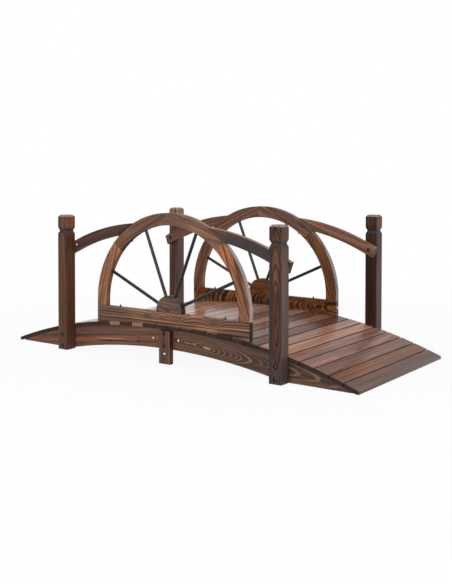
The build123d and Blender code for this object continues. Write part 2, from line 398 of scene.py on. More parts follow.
# %% Colour of the stain
FIBRE_WAVES, STREAK_WAVES = (12.0, 520.0, 520.0), (2.4, 85.0, 85.0)
PATCH_WAVES, CLOUDS_ACROSS = (1.6, 7.0, 7.0), (18.0, 18.0)
WARMER, COOLER = (1.40, 1.24, 1.06), (0.58, 0.56, 0.60)
SOOT_EDGE, MARK_EDGE, MARK_UNEVEN = (0.44, 0.60), (1.2, 0.3), 1.4
TURNED_THAT_WAY, UNDERSIDE_SHADE = (0.45, 0.75), 0.7
FAINTEST_LINE, LINES_DIFFER, LINE_PATCHES = 0.32, 0.78, (0.25, 0.7, 0.7, 1.1)
PORE_DARKER, PORE_EDGE, RIDGE_WARMER, RIDGE_EDGE = 0.34, (0.50, 0.74), 0.28, (0.47, 0.25)


def tinted(colour, red, green, blue):
    """A colour with each channel multiplied, kept under 1."""
    return tuple(min(1.0, c * k) for c, k in zip(colour, (red, green, blue))) + (1.0,)


def wood_colour(wire, colours, figure, line_depth, soot, soot_waves, marks, tops, calm):
    """The stain before wear: warm and cool streaks, soot, marks, summer lines, dark pores and a painted
    shade below.

    A mark (along, across, length, width, colour, amount) is an uneven oval of another tone.
    A painted face (direction, colour, amount) puts another tone on the faces turned that way:
    the callers paint sheen, highlights and shade with it, and covered is how much of it is
    there. calm is how far the streaks' noise runs before a streak is fully warm or cool: more of it gives
    softer streaks.
    """
    spring, summer, grey, dark = (paint(*c) for c in colours)
    place = figure["noise"]
    fibre = place.noise(FIBRE_WAVES, 3.0, 0.65)
    streak = place.noise(STREAK_WAVES, 2.0, 0.55)
    cloud = place.noise((soot_waves, *CLOUDS_ACROSS), 3.0, 0.6)
    patch = place.noise(PATCH_WAVES, 1.0)
    warm, cool = tinted(spring, *WARMER), tinted(spring, *COOLER)
    colour = streak.step(0.5 - calm, 0.5 + calm).mix(warm, cool)
    colour = (soot * cloud.step(*SOOT_EDGE)).mix(colour, grey)
    for along, across, length, width, tone, amount in marks:
        run, rise = (figure["along"] - along) / length, (figure["across"] - across) / width
        oval = run * run + rise * rise + MARK_UNEVEN * (cloud - 0.5)
        colour = (amount * oval.step(*MARK_EDGE)).mix(colour, paint(*tone))
    flat = wire.node("ShaderNodeNewGeometry", output="True Normal")
    covered = 0.0
    for direction, tone, amount in tops:
        top = amount * flat.part(direction).step(*TURNED_THAT_WAY)
        colour, covered = top.mix(colour, paint(*tone)), covered + top
    # Faces turned down get a painted shade.
    colour = (UNDERSIDE_SHADE * flat.part(-Z).step(*TURNED_THAT_WAY)).mix(colour, dark)
    per_line = FAINTEST_LINE + LINES_DIFFER * figure["per_ring"]
    strength = line_depth * per_line * patch.step(*LINE_PATCHES)
    colour = (figure["line"] * strength).mix(colour, summer)
    colour = (PORE_DARKER * fibre.step(*PORE_EDGE)).mix(colour, dark)
    colour = (RIDGE_WARMER * fibre.step(*RIDGE_EDGE)).mix(colour, warm)
    return colour, fibre, streak, cloud, covered


print("a warm streak has", round(WARMER[0] / COOLER[0], 1), "times the red of a cool one")

# %% [markdown]
# A bolt's recess and the line where a rail meets a rim get a painted shade, and a rim's
# scorched joint is dark. Each is a short distance to a point, a plane or a cylinder.

# %% Dark places
HOLE_REACH, RECESS_SHADE = (0.0084, 0.0078), 0.9
SEAM_REACH, RIM_SHADOW_REACH, JOINT_AND_SHADOW_DARKER = (0.0022, 0.0009), (0.0040, 0.0020), 0.85


def darkened(place, colour, dark, holes, seams, circles):
    """Paints shade inside the bolt recesses and where a rail meets a rim, and darkens a scorched joint.

    A hole is the middle of its recess. A seam is (point, normal of its plane). A circle
    is the (height, radius) of a wheel's rim that another piece meets, and it gets a painted shadow.
    """
    # Inside each recess: a painted shade.
    for hole in holes:
        reach = place.vector("DISTANCE", place, tuple(hole), output="Value")
        colour = (RECESS_SHADE * reach.step(*HOLE_REACH)).mix(colour, dark)
    for point, normal in seams:
        gap = place.part(normal) - Vector(point).dot(Vector(normal))
        colour = (JOINT_AND_SHADOW_DARKER * gap.maths("ABSOLUTE", gap).step(*SEAM_REACH)).mix(colour, dark)
    # Where a rail meets a rim: a painted shadow.
    for height, radius in circles:
        flat = place.vector("MULTIPLY_ADD", place, (1.0, 0.0, 1.0), (0.0, 0.0, -height))
        gap = flat.vector("LENGTH", flat, output="Value") - radius
        colour = (JOINT_AND_SHADOW_DARKER * gap.maths("ABSOLUTE", gap).step(*RIM_SHADOW_REACH)).mix(colour, dark)
    return colour


print("a recess is dark within", HOLE_REACH[0] * 1000, "mm of its middle")

# %% [markdown]
# Now the whole material of a board. End grain drinks more stain and ends up darker, and
# it is where a face looks along the grain. Corners char first: a Bevel node tells how a
# rounded corner would face, and where that differs from the face itself is a corner.
# Brushing left the hard lines proud, so they feed a bump, and varnish is glossier there.

# %% A board's material
END_GRAIN_DARKER, EDGE_REACH, WOOD_SHINE = 0.96, 0.0026, 0.25
END_GRAIN_TURN, CORNER_TURN = (0.6, 0.92), (0.995, 0.86)
CORNER_CHAR, CLOUDY_CHAR = 0.30, 0.5
LINE_RISE, FIBRE_RISE, GRAIN_RELIEF, RELIEF_HEIGHT = 0.6, 0.6, 0.5, 0.0007
STREAK_ROUGH, FIBRE_ROUGH, LINE_GLOSSIER, CORNER_ROUGH = 0.12, 0.14, 0.05, 0.35


def stained_wood(name, pith_frame, along, colours, ring_width, seed, knots=(), eyes=(), marks=(),
                 tops=(), holes=(), seams=(), circles=(), line_depth=0.8, line_begins=LINE_BEGINS,
                 soot=0.45, gloss=0.46, soot_waves=2.2, shine=WOOD_SHINE, calm=0.14, end_rough=0.12):
    """One board's material.

    colours are the spring wood, the summer line, the soot, and the dark of pores and
    ends. line_depth is how strongly the lines show, and line_begins where in a ring the
    line begins, from 0 to 1. soot is how much of the face went grey, and soot_waves how
    many clouds of it there are in a metre. gloss is the roughness, end_rough what end
    grain adds to it, and shine the strength of the varnish.
    """
    material, shader, wire = new_material(name)
    figure = growth_rings(wire, pith_frame, ring_width, seed, knots, eyes, line_begins)
    line = figure["line"]
    colour, fibre, streak, cloud, covered = wood_colour(
        wire, colours, figure, line_depth, soot, soot_waves, marks, tops, calm)
    summer, dark = paint(*colours[1]), paint(*colours[3])

    flat = wire.node("ShaderNodeNewGeometry", output="True Normal")
    smooth = wire.node("ShaderNodeNewGeometry", output="Normal")
    facing = flat.part(along)
    end_grain = facing.maths("ABSOLUTE", facing).step(*END_GRAIN_TURN)
    colour = (END_GRAIN_DARKER * end_grain * (1.0 - covered)).mix(colour, dark)
    rounded = wire.node("ShaderNodeBevel", {"samples": 6}, {"Radius": EDGE_REACH})
    corner = rounded.vector("DOT_PRODUCT", rounded, smooth, output="Value").step(*CORNER_TURN)
    colour = (corner * (CORNER_CHAR + CLOUDY_CHAR * cloud)).mix(colour, summer)
    colour = darkened(figure["place"], colour, dark, holes, seams, circles)

    height = line * LINE_RISE + fibre * FIBRE_RISE
    relief = wire.node(
        "ShaderNodeBump", None, {"Height": height, "Strength": GRAIN_RELIEF, "Distance": RELIEF_HEIGHT})
    rough = gloss + STREAK_ROUGH * (streak - 0.5) + FIBRE_ROUGH * (fibre - 0.5) - LINE_GLOSSIER * line
    rough = rough + end_rough * end_grain + CORNER_ROUGH * corner
    feed(shader, Base_Color=colour, Roughness=rough, Normal=relief, Specular_IOR_Level=shine)
    return material


print("end grain is mixed", END_GRAIN_DARKER, "of the way to the dark of the ends")

# %% [markdown]
# Each piece of wood gets a material of its own, because no two boards come from the same
# place in the tree. A family of pieces shares how its grain runs and much of its stain:
# along posts, stringers and rails, across the bridge in the deck, and along the chord of
# a rim's segment, which is sawn from a straight plank. Where a piece was sawn, its knots
# and its marks are its own. A mark is a soft oval of another tone, such as soot down one
# side. A seed moves each board to another stretch of the noise.

# %% Stains
# each: spring wood, summer line, soot, and the dark of pores and ends
POSTS = {
    "front_left": ((98, 66, 50), (36, 22, 16), (72, 58, 54), (26, 16, 12)),
    "front_right": ((78, 49, 39), (26, 15, 11), (64, 54, 52), (20, 12, 9)),
    "back_left": ((104, 72, 60), (40, 25, 19), (76, 62, 57), (26, 17, 12)),
    "back_right": ((60, 28, 13), (24, 11, 5), (44, 31, 25), (16, 8, 4)),
}
STRINGER = ((118, 82, 66), (60, 38, 31), (84, 70, 64), (36, 24, 19))
LEG = ((108, 74, 60), (54, 35, 28), (80, 64, 56), (32, 20, 15))
RAIL = ((116, 80, 64), (34, 21, 16), (68, 61, 60), (52, 40, 33))
RIM_DARKS = ((50, 28, 19), (98, 80, 70), (30, 18, 13))
BASE = ((156, 115, 89), (34, 18, 11), (104, 84, 74), (46, 31, 25))
HUBS = {
    "hub_front": ((104, 82, 69), (58, 42, 35), (88, 75, 68), (36, 26, 21)),
    "hub_back": ((112, 70, 36), (46, 23, 11), (78, 52, 36), (20, 11, 7)),
}
AMBER_BASE = ((136, 84, 42), (14, 6, 2), (70, 42, 26), (14, 7, 4))
DECK_TONES = {
    # The first and palest tone is a painted sheen, for boards that mirror the bright sweep.
    "ash": ((178, 152, 144), (112, 86, 76), (150, 130, 124), (28, 12, 5)),
    "rosy": ((176, 131, 110), (106, 72, 58), (150, 122, 110), (28, 12, 5)),
    "amber": ((190, 140, 114), (120, 78, 58), (164, 128, 108), (28, 12, 5)),
    "brown": ((150, 110, 97), (92, 62, 52), (130, 104, 96), (28, 12, 5)),
    # The next two darker tones, for the fifth and seventh boards on the right, are part the wood's own tone
    # and part a painted shade and dark reflection of the far wheel's base.
    "umber": ((116, 80, 66), (70, 45, 35), (100, 78, 68), (28, 12, 5)),
    "burnt": ((102, 68, 56), (60, 38, 30), (88, 68, 59), (28, 12, 5)),
    "grey": ((130, 97, 84), (74, 52, 44), (110, 90, 84), (24, 17, 14)),
    "tail": ((132, 86, 60), (78, 46, 32), (110, 78, 62), (24, 15, 10)),
    "toe": ((114, 85, 73), (70, 50, 42), (100, 80, 74), (22, 14, 11)),
}
RIGHT_DECK = ("ash", "rosy", "grey", "rosy", "umber", "brown", "burnt", "rosy", "amber",
              "brown", "brown", "grey", "tail", "toe")
LEFT_DECK = ("ash", "rosy", "ash", "amber", "ash", "rosy", "brown", "ash", "amber",
             "rosy", "grey", "brown", "rosy", "grey")
SEEDS = {"post": 3.1, "stringer": 11.3, "leg": 21.0, "plate": 24.0, "rail": 31.0, "rim": 41.0,
         "base": 61.0, "hub": 65.0, "deck": 71.0}
print("deck boards:", len(RIGHT_DECK) + len(LEFT_DECK))

# %% [markdown]
# A sawn corner is never quite sharp, and a narrow bevel on it catches the light. The
# solids come as loose triangles, so these are welded and flat faces are cleared of inner
# edges first. Modifiers do it all, so the mesh itself stays as it came.

# %% Give a node its material
EDGE_ROUND, POST_ROUND, HUB_ROUND, DECK_ROUND = 0.0011, 0.0006, 0.0007, 0.0004
WELD_REACH = 1e-5
FLAT_WITHIN, SHARP_FROM = math.radians(0.3), math.radians(25)


def middle_of(name):
    """The middle of a node's box."""
    low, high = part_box(name)
    return (low + high) / 2


def outward_of(name):
    """Out of the bridge's side, for a piece on the front or the back."""
    return -Y if "front" in name else Y


def climbing(name, degrees):
    """Along a piece that climbs towards the bridge's middle."""
    rise = math.radians(degrees if name.endswith("left") else -degrees)
    return Vector((math.cos(rise), 0, math.sin(rise)))


def dress(name, material):
    """Puts one material in all of a node's slots."""
    mesh = nodes[name].data
    mesh.materials.clear()
    mesh.materials.append(material)


def soften(name, width):
    """Rounds a node's sawn corners: weld its triangles, flatten its faces, bevel what is sharp."""
    piece = nodes[name]
    weld = piece.modifiers.new("weld", "WELD")
    weld.merge_threshold = WELD_REACH
    flat = piece.modifiers.new("flat", "DECIMATE")
    flat.decimate_type, flat.angle_limit = "DISSOLVE", FLAT_WITHIN
    bevel = piece.modifiers.new("bevel", "BEVEL")
    bevel.width, bevel.segments = width, 2
    bevel.limit_method, bevel.angle_limit = "ANGLE", SHARP_FROM
    shade = piece.modifiers.new("shade", "WEIGHTED_NORMAL")
    shade.keep_sharp = False


def dress_in_wood(name, along, outward, pith, palette, ring_width, seed, rounding=EDGE_ROUND, **figure):
    """Gives a node its own board's material and rounds it. pith is the side, depth, swing and lean."""
    pith_frame = grain_frame(middle_of(name), along, outward, *pith)
    dress(name, stained_wood(name + "_wood", pith_frame, along, palette, ring_width, seed, **figure))
    soften(name, rounding)


print("sawn corners are rounded by", EDGE_ROUND * 1000, "mm, and finer ones by", POST_ROUND * 1000)

# %% [markdown]
# The posts have their grain upright. The near right one was sawn nearly along a ring, so
# pointed arches climb its face, and the others show straight lines. Each neck is painted
# dark grey, a painted shade in its groove, and the upward faces are painted pale, a painted sheen.

# %% Posts
# On a post, "across" runs from its right-hand face, at -24 mm, to its left-hand face.
# The third of these, a grey for a post's right-hand face, is a painted sheen.
RUST, SOOT_BLUE, RIGHT_FACE_SHEEN, EMBER = (86, 44, 20), (54, 48, 48), (96, 76, 70), (126, 80, 54)
RIGHT_FACE, LEFT_EDGE, CAP = -0.024, 0.023, 0.235
RECESS_HEIGHTS = {"post": (0.0165, 0.0585), "leg": (0.068, 0.111), "rail": (0.3913,)}
POST_X, RECESS_DEPTH = 0.480, 0.007
# The pale grey on the posts' upward faces is a painted sheen.
NECK_SHADE, CAP_SHEEN, TOP_AMOUNT = (54, 50, 51), (180, 170, 166), 0.8
# The grey band round each neck is a painted shade in its groove.
NECK_SHADE_BAND = (0.1995, 0.0, 0.012, 0.2, NECK_SHADE, 0.8)


def recesses(name, x):
    """The middles of the bolt recesses, in a rail's inner face or another piece's outer one."""
    low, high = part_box(name)
    outer, inner, sign = (low.y, high.y, -1) if "front" in name else (high.y, low.y, 1)
    kind = next(kind for kind in RECESS_HEIGHTS if kind in name)
    half_depth = sign * RECESS_DEPTH / 2
    y = inner + half_depth if kind == "rail" else outer - half_depth
    return [(x, y, z) for z in RECESS_HEIGHTS[kind]]


POST_FIGURES = {
    # side, depth, swing, lean, ring width, soot, marks
    "front_left": (0.060, 0.030, 0.4, 0.9, COMMON_RING, 0.35, (
        (-0.05, -0.0165, 0.30, 0.0030, (56, 44, 40), 0.7), (-0.02, RIGHT_FACE, 0.32, 0.007, RUST, 0.85),
        (CAP, RIGHT_FACE, 0.030, 0.012, (128, 72, 34), 0.9), (CAP, 0.0, 0.03, 0.02, (116, 76, 58), 0.6))),
    "front_right": (0.001, -0.026, 0.5, 7.0, 0.0066, 0.4, (
        # The grey oval down the right-hand face is a painted sheen.
        (-0.12, RIGHT_FACE, 0.32, 0.010, RIGHT_FACE_SHEEN, 0.6), (-0.08, LEFT_EDGE, 0.28, 0.012, SOOT_BLUE, 0.85),
        (0.12, 0.001, 0.08, 0.012, EMBER, 0.5), (-0.22, 0.0, 0.07, 0.03, (70, 58, 54), 0.7),
        (CAP, RIGHT_FACE, 0.034, 0.016, (84, 42, 20), 0.8))),
    "back_left": (-0.050, 0.040, 0.4, 1.2, COMMON_RING, 0.30, (
        (-0.05, RIGHT_FACE, 0.26, 0.009, (104, 66, 50), 0.6), (CAP, 0.0, 0.034, 0.05, (156, 116, 96), 0.8))),
    "back_right": (0.045, 0.035, -0.5, 1.8, 0.0080, 0.20, (
        (-0.05, RIGHT_FACE, 0.26, 0.010, (78, 54, 46), 0.8), (-0.185, 0.0, 0.03, 0.012, (104, 62, 38), 0.7),
        (CAP, RIGHT_FACE, 0.034, 0.016, (106, 56, 30), 0.8), (CAP, 0.012, 0.03, 0.016, (80, 50, 36), 0.8))),
}
for number, (place_name, facts) in enumerate(POST_FIGURES.items()):
    *pith, ring_width, soot, marks = facts
    name = "post_" + place_name
    dress_in_wood(name, Z, -Y, pith, POSTS[place_name], ring_width, SEEDS["post"] + number,
                  POST_ROUND, marks=marks + (NECK_SHADE_BAND,), tops=((Z, CAP_SHEEN, TOP_AMOUNT),),
                  soot=soot, line_depth=0.95, holes=recesses(name, middle_of(name).x))
print("posts:", len(POST_FIGURES))

# %% [markdown]
# A stringer half is sawn from a plank laid along its slope, so its grain climbs with it.
# The front right one shows an eye: a bulge in the trunk, cut through, with chevrons
# running down from it. Its lines are paler than its scorched ground, so its palette is
# the other way round. The legs stand upright on the middle joints, and a plate lies
# behind each.

# %% Stringers, legs and plates
SLOPE = 6.0
LEG_RIGHT_FACE = 0.025
LEG_PITH, PLATE_PITH = (0.045, 0.040, 0.5, 0.8), (0.01, 0.05, 0.5, 1.0)
PLATE_RING = 0.0036
PALE_LINED = ((79, 54, 45), (166, 128, 100), (68, 56, 53), (34, 22, 18))
STRINGER_FIGURES = {
    # side, depth, lean, ring width, palette, line depth, knots, eyes, marks
    "stringer_front_left": (-0.060, 0.030, -0.6, 0.0090, STRINGER, 0.6, (
        (0.231, -0.020, 0.010, 0.012),), (), (
        (0.098, -0.007, 0.085, 0.0024, (186, 140, 104), 0.9), (0.10, -0.014, 0.07, 0.004, (62, 42, 33), 0.7),
        (0.231, -0.016, 0.008, 0.006, (44, 28, 22), 0.9), (0.087, -0.017, 0.008, 0.004, (44, 28, 22), 0.8),
        (0.0, 0.020, 0.25, 0.016, (88, 70, 64), 0.7))),
    "stringer_front_right": (-0.001, 0.016, 0.9, 0.0052, PALE_LINED, 0.9, (), (
        (-0.197, -0.001, 0.0120, 0.0046, 16.0), (-0.294, -0.003, 0.009, 0.0042, 4.0)), (
        (-0.197, -0.001, 0.020, 0.0060, (170, 130, 102), 0.95),)),
    "stringer_back_left": (-0.05, 0.035, -1.6, COMMON_RING, STRINGER, 0.7, (), (), ()),
    "stringer_back_right": (0.012, 0.050, 1.8, 0.0080, STRINGER, 0.7, (), (), ()),
}
for number, (name, facts) in enumerate(STRINGER_FIGURES.items()):
    side, depth, lean, ring_width, palette, line_depth, knots, eyes, marks = facts
    dress_in_wood(name, climbing(name, SLOPE), outward_of(name), (side, depth, 0.0, lean), palette,
                  ring_width, SEEDS["stringer"] + number, knots=knots, eyes=eyes, marks=marks,
                  line_depth=line_depth)
for number, side_name in enumerate(("front", "back")):
    leg = f"middle_leg_{side_name}"
    right_face = -LEG_RIGHT_FACE if side_name == "front" else LEG_RIGHT_FACE
    leg_marks = (
        (0.0, right_face, 1.0, 0.006, (48, 26, 14), 0.95), (0.02, 0.004, 0.09, 0.010, (86, 72, 64), 0.6),
        (0.0, 0.6 * right_face, 0.3, 0.004, (124, 80, 60), 0.5))
    dress_in_wood(leg, Z, outward_of(leg), LEG_PITH, LEG, COMMON_RING, SEEDS["leg"] + number,
                  marks=leg_marks, line_depth=0.6, holes=recesses(leg, 0.0))
    plate = f"joint_plate_{side_name}"
    dress_in_wood(plate, X, outward_of(plate), PLATE_PITH, LEG, PLATE_RING, SEEDS["plate"] + number)
print("stringers:", list(STRINGER_FIGURES))

# %% [markdown]
# Each rail is sawn to a curve out of a straight board, so its lines run out at its edges.
# The near right one took the most soot and went blue-grey. Each upward face is painted
# paler, a painted highlight, that rail's most of all. Where a rail's end fits a rim, a painted shadow
# darkens the seam.

# %% Rails
RAIL_SLOPE, RAIL_PITH = 17.0, (-0.05, 0.04, 2.0, 1.2)
WHEEL_MIDDLE_HEIGHT, RIM_INNER, RIM_OUTER = 0.200, 0.301, 0.346
# The pale colour for the rails' upward faces is a painted highlight.
COLD_SOOT, TOP_HIGHLIGHT = (58, 57, 58), (176, 133, 105)
RAIL_FIGURES = {
    # line depth, soot, marks, how strong the painted highlight on the upward face is
    "rail_back_left": (0.8, 0.3, ((0.0, 0.0, 0.3, 0.06, (124, 84, 64), 0.5),), 0.2),
    "rail_back_right": (0.9, 0.15, (
        (0.0, -0.014, 0.3, 0.012, (156, 110, 88), 0.7), (0.0, 0.016, 0.3, 0.014, (112, 74, 64), 0.7)), 0.5),
    "rail_front_left": (1.0, 0.8, ((0.0, 0.0, 0.3, 0.06, (70, 52, 46), 0.8),), 0.2),
    "rail_front_right": (0.35, 0.7, ((0.05, 0.0, 0.2, 0.06, COLD_SOOT, 0.95),), 0.9),
}
for number, (name, (line_depth, soot, marks, top)) in enumerate(RAIL_FIGURES.items()):
    x = -POST_X if name.endswith("left") else POST_X
    dress_in_wood(name, climbing(name, RAIL_SLOPE), outward_of(name), RAIL_PITH, RAIL, COMMON_RING,
                  SEEDS["rail"] + number, line_depth=line_depth, marks=marks, soot=soot,
                  tops=((Z, TOP_HIGHLIGHT, top),), holes=recesses(name, x),
                  circles=((WHEEL_MIDDLE_HEIGHT, RIM_OUTER),))
print("rails:", list(RAIL_FIGURES))

# %% [markdown]
# A rim is four segments, each sawn from a straight plank, so its lines run along its
# chord and leave it through the curved edges. The outer edge is painted a tone of its
# own, a painted sheen. One joint of the far rim is scorched black.

# %% Rims
SCORCHED_JOINT = math.radians(47.0)
RIM_RING, RIM_SHEEN_AMOUNT = 0.0090, 0.85
RIM_SIDE, RIM_PITH = 0.035, (0.045, 3.0, 2.4)
RIM_TONES = {
    # of each segment, from the right: spring wood, painted sheen of the outer surface, line depth
    "front": (((156, 104, 70), (212, 200, 194), 1.0), ((140, 105, 86), (150, 122, 106), 0.85),
              ((115, 86, 70), (112, 92, 82), 0.8), ((158, 110, 80), (104, 84, 74), 0.9)),
    "back": (((116, 72, 41), (160, 150, 146), 0.9), ((126, 92, 76), (150, 134, 126), 0.8),
             ((124, 88, 68), (100, 84, 76), 0.8), ((122, 86, 66), (100, 84, 76), 0.8)),
}
for side_name, tones in RIM_TONES.items():
    joint = (-math.sin(SCORCHED_JOINT), 0.0, math.cos(SCORCHED_JOINT))
    seams = (((0.0, 0.0, WHEEL_MIDDLE_HEIGHT), joint),) if side_name == "back" else ()
    for segment, (tone, outer_sheen, line_depth) in enumerate(tones, start=1):
        name = f"rim_felloe_{segment}_{side_name}"
        middle = middle_of(name)
        radial = Vector((middle.x, 0, middle.z - WHEEL_MIDDLE_HEIGHT)).normalized()
        chord = Vector((-radial.z, 0, radial.x))
        seed = SEEDS["rim"] + segment + (10 if side_name == "back" else 0)
        pith = (RIM_SIDE * (-1) ** segment, *RIM_PITH)
        dress_in_wood(name, chord, outward_of(name), pith, (tone,) + RIM_DARKS, RIM_RING, seed,
                      seams=seams, tops=((radial, outer_sheen, RIM_SHEEN_AMOUNT),), soot=0.35,
                      line_depth=line_depth)
print("rim segments:", sum(len(tones) for tones in RIM_TONES.values()))

# %% [markdown]
# The board under the near wheel has the boldest figure: its lines dive into three knots,
# and between them they rise and fall like dunes. The far one was scorched hardest, so
# its lines are black on amber, in chevrons that point away from its right end.

# %% Wheel bases and hubs
BASE_SWING, HUB_PITH = 0.8, (-0.02, 0.03, 2.0, 6.0)
# The pale grey on the far base's right-hand end is a painted sheen.
END_SHEEN, END_SHEEN_AMOUNT = (128, 118, 114), {"wheel_base_front": 0.0, "wheel_base_back": 0.8}
BASE_FIGURES = {
    # side, depth, lean, ring width, palette, line depth, where lines begin, soot, knots, marks
    "wheel_base_front": (-0.075, 0.020, 0.3, 0.0115, BASE, 1.5, 0.40, 0.2, (
        (0.037, -0.003, 0.036, 0.050), (0.201, -0.008, 0.030, 0.050), (-0.060, 0.004, 0.030, 0.024)), (
        (-0.27, 0.0, 0.12, 0.05, (92, 76, 66), 0.7), (0.30, -0.012, 0.10, 0.014, (96, 78, 70), 0.7),
        (-0.10, 0.018, 0.03, 0.012, (86, 76, 72), 0.7), (-0.03, 0.014, 0.006, 0.004, (48, 34, 28), 0.5),
        (0.05, -0.018, 0.1, 0.006, (112, 76, 72), 0.5))),
    "wheel_base_back": (0.002, 0.082, -15.0, 0.0066, AMBER_BASE, 1.5, 0.30, 0.4, (), (
        # The two black ovals near the right end are a painted shade at the rim's foot.
        (0.285, 0.003, 0.018, 0.009, (22, 10, 5), 0.95), (0.34, 0.02, 0.04, 0.008, (22, 12, 8), 0.9),
        (0.05, 0.0, 0.10, 0.03, (52, 26, 10), 0.6))),
}
for number, (name, facts) in enumerate(BASE_FIGURES.items()):
    side, depth, lean, ring_width, palette, line_depth, line_begins, soot, knots, marks = facts
    dress_in_wood(name, X, -Y, (side, depth, BASE_SWING, lean), palette, ring_width,
                  SEEDS["base"] + number, knots=knots, marks=marks,
                  tops=((X, END_SHEEN, END_SHEEN_AMOUNT[name]),), line_depth=line_depth,
                  line_begins=line_begins, soot=soot)
    hub = name.replace("wheel_base", "hub")
    dress_in_wood(hub, X, -Y, HUB_PITH, HUBS[hub], COMMON_RING, SEEDS["hub"] + number, HUB_ROUND,
                  line_depth=1.1)
print("wheel bases and hubs:", list(BASE_FIGURES))

# %% [markdown]
# The deck boards lie across the bridge. They are brushed smoother and shine more than the
# rest, neighbours differ in tone, and seeded dice say where each was sawn. Their long
# edges are painted near black, a painted shade in the gaps. Two have pale ends beside a wheel.

# %% Deck boards
PALE_ENDS, PALE_END = ("deck_board_left_05", "deck_board_left_03"), (140, 102, 76)
# The near black on the boards' long edges is a painted shade in the gaps.
DECK_RING, GAP_SHADE, GAP_SHADE_AMOUNT = 0.0044, (24, 16, 12), 0.9
# side, depth, swing and lean of the pith line
DICE_LOW, DICE_HIGH = (-0.05, 0.03, -1.0, -1.6), (0.05, 0.09, 1.0, 1.6)
board_dice = np.random.default_rng(20)
shaded_long_edges = ((X, GAP_SHADE, GAP_SHADE_AMOUNT), (-X, GAP_SHADE, GAP_SHADE_AMOUNT))
for half, tones in (("right", RIGHT_DECK), ("left", LEFT_DECK)):
    for number, tone in enumerate(tones, start=1):
        name = f"deck_board_{half}_{number:02d}"
        pith = board_dice.uniform(DICE_LOW, DICE_HIGH).tolist()
        palette = DECK_TONES[tone]
        if name in PALE_ENDS:
            palette = palette[:3] + (PALE_END,)
        seed = SEEDS["deck"] + 3 * number + (50 if half == "left" else 0)
        dress_in_wood(name, Y, Z, pith, palette, DECK_RING, seed, DECK_ROUND, tops=shaded_long_edges,
                      line_depth=0.5, soot=0.4, gloss=0.22, soot_waves=2.0, shine=0.5, calm=0.26,
                      end_rough=0.6)
print("deck boards with pale ends:", PALE_ENDS)

# %% [markdown]
# The eight spokes of the two half wheels are steel rods with a black satin coat. A
# powder coat is never quite flat, so a fine orange-peel bump breaks up the highlight,
# and a faint dust makes its roughness uneven.

# %% Metals
DUST_WAVES, GRIT_WAVES = (40.0, 40.0, 40.0), (900.0, 900.0, 900.0)
DUST_EDGE, DUST_ROUGH, PEEL_HEIGHT = (0.35, 0.75), 0.18, 0.0003


def metal(name, colour, metallic, rough, peel):
    """A metal or painted metal: even colour, roughness and height disturbed by small noise."""
    material, shader, wire = new_material(name)
    place = wire.node("ShaderNodeTexCoord", output="Object")
    dust = place.noise(DUST_WAVES, 3.0, 0.6)
    grit = place.noise(GRIT_WAVES, 2.0)
    base = paint(*colour)
    dusty = tuple(min(1.0, 1.5 * c + 0.01) for c in base[:3]) + (1.0,)
    bump = wire.node("ShaderNodeBump", None, {"Height": grit, "Strength": peel, "Distance": PEEL_HEIGHT})
    feed(shader, Base_Color=dust.step(*DUST_EDGE).mix(base, dusty), Metallic=metallic,
         Roughness=rough + DUST_ROUGH * dust, Normal=bump)
    return material


spoke_coat = metal("black_satin_coat", (20, 21, 22), 0.0, 0.34, 0.25)
black_steel = metal("blackened_steel", (15, 14, 14), 0.3, 0.45, 0.3)
bolt_steel = metal("browned_steel", (78, 74, 71), 0.9, 0.40, 0.3)
bright_zinc = metal("bright_zinc", (214, 212, 206), 1.0, 0.24, 0.15)
for side_name in ("front", "back"):
    dress(f"spokes_{side_name}", spoke_coat)
print("metals:", [finish.name for finish in (spoke_coat, black_steel, bolt_steel, bright_zinc)])

# %% [markdown]
# Bolts and screws are turned shapes: one outline carried round an axis. A hexagon is
# the same surface with a radius that grows towards its six corners. The fasteners of
# one kind are worked out once, copied to each place as arrays, and joined into one mesh.

# %% Turned shapes
MM = 0.001
SPIN_STEP, SHARP_SPLIT = 2.1, math.radians(35)


def turned(outline, around=30, hexagon=()):
    """An outline of (radius, height) carried round the z axis and closed by a pole at each end.

    point(i, t) = (r_i * k_i(t) * cos t, r_i * k_i(t) * sin t, h_i), where k is 1 on a round
    ring and 1 / cos(distance of t from the middle of its sixth) on a ring in hexagon.
    The outline runs from the foot to the top, so that the faces point outwards.
    """
    angle = np.linspace(0, 2 * np.pi, around, endpoint=False)
    sixth = np.mod(angle, np.pi / 3) - np.pi / 6
    radius = np.array([r for r, h in outline])[:, None] * np.ones(around)
    rows = list(hexagon)
    radius[rows] /= np.cos(sixth)
    height = np.array([h for r, h in outline])[:, None] * np.ones(around)
    rings = np.stack([radius * np.cos(angle), radius * np.sin(angle), height], -1).reshape(-1, 3)
    poles = np.array([(0, 0, outline[0][1]), (0, 0, outline[-1][1])])
    points = np.vstack([rings, poles])
    row, column = np.meshgrid(np.arange(len(outline) - 1), np.arange(around), indexing="ij")
    after = (column + 1) % around
    quads = np.stack([row * around + column, row * around + after,
                      (row + 1) * around + after, (row + 1) * around + column], -1).reshape(-1, 4)
    here, onward = column[0], after[0]
    foot, top, last = len(rings), len(rings) + 1, (len(outline) - 1) * around
    caps = np.vstack([
        np.stack([onward, here, np.full(around, foot)], -1),
        np.stack([last + here, last + onward, np.full(around, top)], -1)])
    return points, [tuple(q) for q in quads.tolist()] + [tuple(t) for t in caps.tolist()]


